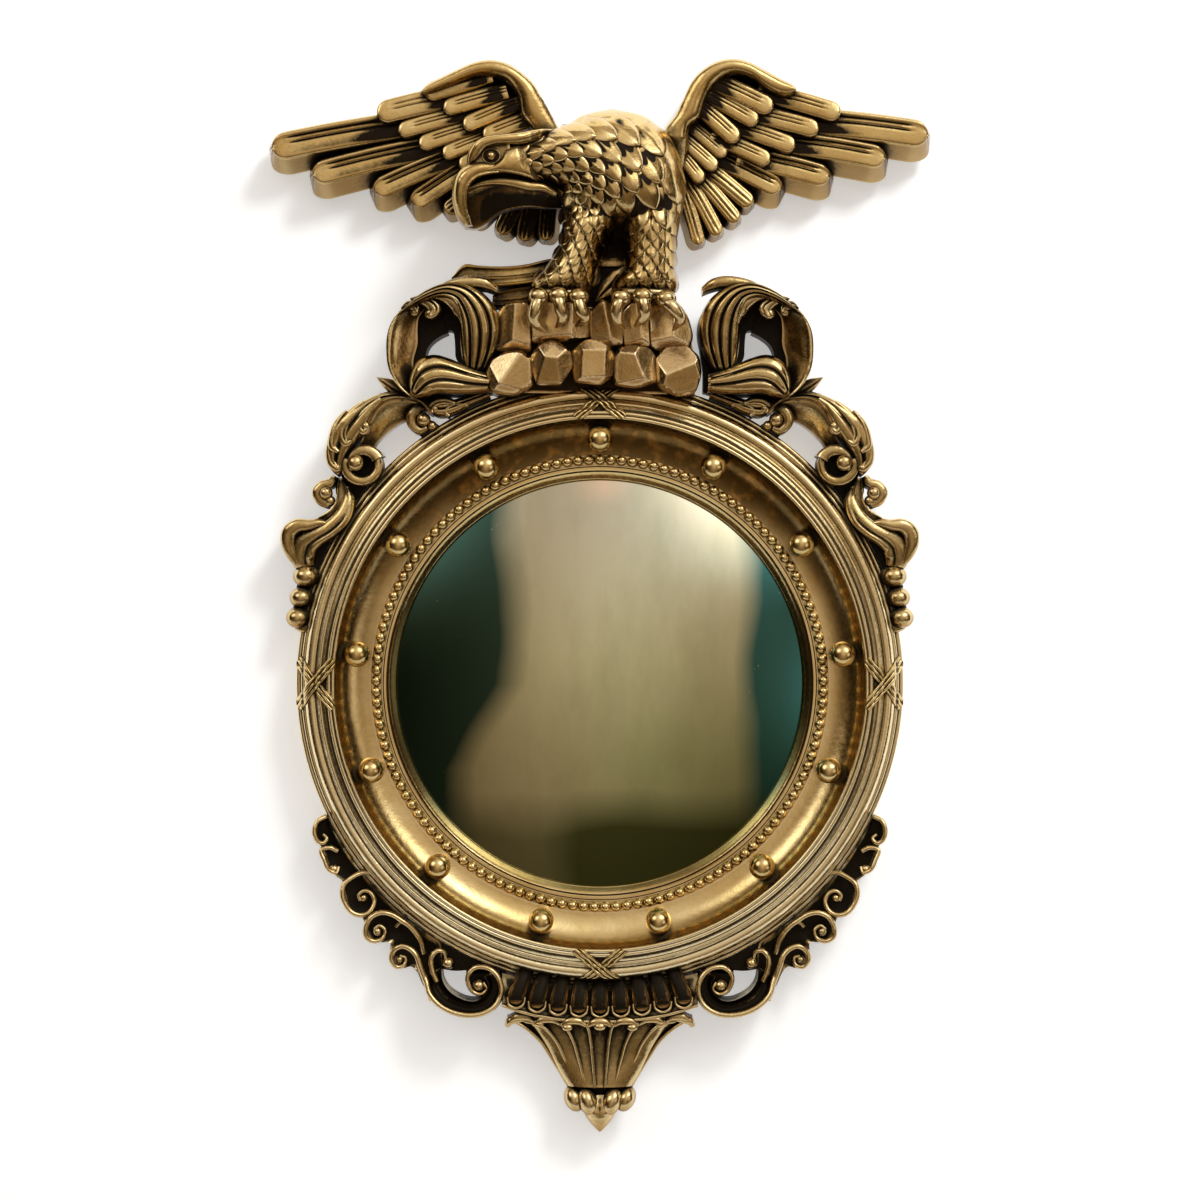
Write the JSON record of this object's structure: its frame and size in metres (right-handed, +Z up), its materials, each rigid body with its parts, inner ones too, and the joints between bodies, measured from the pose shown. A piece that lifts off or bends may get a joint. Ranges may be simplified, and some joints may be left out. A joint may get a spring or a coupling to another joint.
{
  "type": "girandole wall mirror",
  "caption": "Round convex wall mirror in a moulded gilt frame with balls in its hollow, an eagle crest on rocks, leaf scrolls round the rim and a fluted pendant below.",
  "frame": {"origin": "centre of the round frame, on the flat back of the frame", "axes": "+Z up, -Y out of the front of the mirror, +Y towards the wall, +X to the viewer's right"},
  "size_m": [0.4257, 0.0806, 0.6845],
  "materials": {
    "gilt": "antique gold over carved wood and composition, metallic sheen, brown patina in the hollows",
    "dark_gilt": "the same gilding, more heavily patinated",
    "bright_gilt": "burnished gold, lightly worn",
    "silvered_glass": "convex silvered glass, aged and slightly smoky",
    "fibreboard": "plain brown board, matte",
    "plated_steel": "zinc plated, satin",
    "turned_brass": "stamped brass, satin",
    "bumper_rubber": "matte black"
  },
  "bodies": {
    "frame": {"apron_scroll_left": "dark_gilt", "apron_scroll_right": "dark_gilt", "back_panel": "fibreboard", "ball_01": "bright_gilt", "ball_02": "bright_gilt", "ball_03": "bright_gilt", "ball_04": "bright_gilt", "ball_05": "bright_gilt", "ball_06": "bright_gilt", "ball_07": "bright_gilt", "ball_08": "bright_gilt", "ball_09": "bright_gilt", "ball_10": "bright_gilt", "ball_11": "bright_gilt", "ball_12": "bright_gilt", "ball_13": "bright_gilt", "bead_ring": "bright_gilt", "bumper_left": "bumper_rubber", "bumper_right": "bumper_rubber", "crest_scroll_left": "dark_gilt", "crest_scroll_right": "dark_gilt", "eagle_body": "gilt", "frame_ring": "gilt", "gadroon_collar": "dark_gilt", "hanger_strap_left": "plated_steel", "hanger_strap_right": "plated_steel", "mirror_glass": "silvered_glass", "pendant_bud": "dark_gilt", "pendant_console": "dark_gilt", "ribbon_tie_bottom": "bright_gilt", "ribbon_tie_left": "bright_gilt", "ribbon_tie_right": "bright_gilt", "ribbon_tie_top": "bright_gilt", "rock_base": "dark_gilt", "shoulder_leaf_left": "dark_gilt", "shoulder_leaf_right": "dark_gilt", "side_volute_left": "dark_gilt", "side_volute_right": "dark_gilt", "sight_slip": "bright_gilt", "strap_screw_left_inner": "plated_steel", "strap_screw_left_outer": "plated_steel", "strap_screw_right_inner": "plated_steel", "strap_screw_right_outer": "plated_steel", "tail": "gilt", "talon_left": "dark_gilt", "talon_right": "dark_gilt", "turn_button_screw_bottom": "plated_steel", "turn_button_screw_left": "plated_steel", "turn_button_screw_right": "plated_steel", "turn_button_screw_top": "plated_steel", "wing_left": "gilt", "wing_right": "gilt"},
    "d_ring_left": {"d_ring_left": "plated_steel"},
    "d_ring_right": {"d_ring_right": "plated_steel"},
    "turn_button_bottom": {"turn_button_bottom": "turned_brass"},
    "turn_button_left": {"turn_button_left": "turned_brass"},
    "turn_button_right": {"turn_button_right": "turned_brass"},
    "turn_button_top": {"turn_button_top": "turned_brass"}
  },
  "joints": [
    {"name": "d_ring_right_swing", "type": "hinge", "parent": "frame", "child": "d_ring_right", "pos_m": [0.13192, 0.0033, 0.095], "axis": [0, 0, -1], "range_deg": [0, 170]},
    {"name": "d_ring_left_swing", "type": "hinge", "parent": "frame", "child": "d_ring_left", "pos_m": [-0.13192, 0.0033, 0.095], "axis": [0, 0, 1], "range_deg": [0, 170]},
    {"name": "turn_button_top_spin", "type": "hinge", "parent": "frame", "child": "turn_button_top", "pos_m": [0, 0.0011, 0.149], "axis": [0, 1, 0], "continuous": true},
    {"name": "turn_button_right_spin", "type": "hinge", "parent": "frame", "child": "turn_button_right", "pos_m": [0.149, 0.0011, 0], "axis": [0, 1, 0], "continuous": true},
    {"name": "turn_button_bottom_spin", "type": "hinge", "parent": "frame", "child": "turn_button_bottom", "pos_m": [0, 0.0011, -0.149], "axis": [0, 1, 0], "continuous": true},
    {"name": "turn_button_left_spin", "type": "hinge", "parent": "frame", "child": "turn_button_left", "pos_m": [-0.149, 0.0011, 0], "axis": [0, 1, 0], "continuous": true}
  ]
}
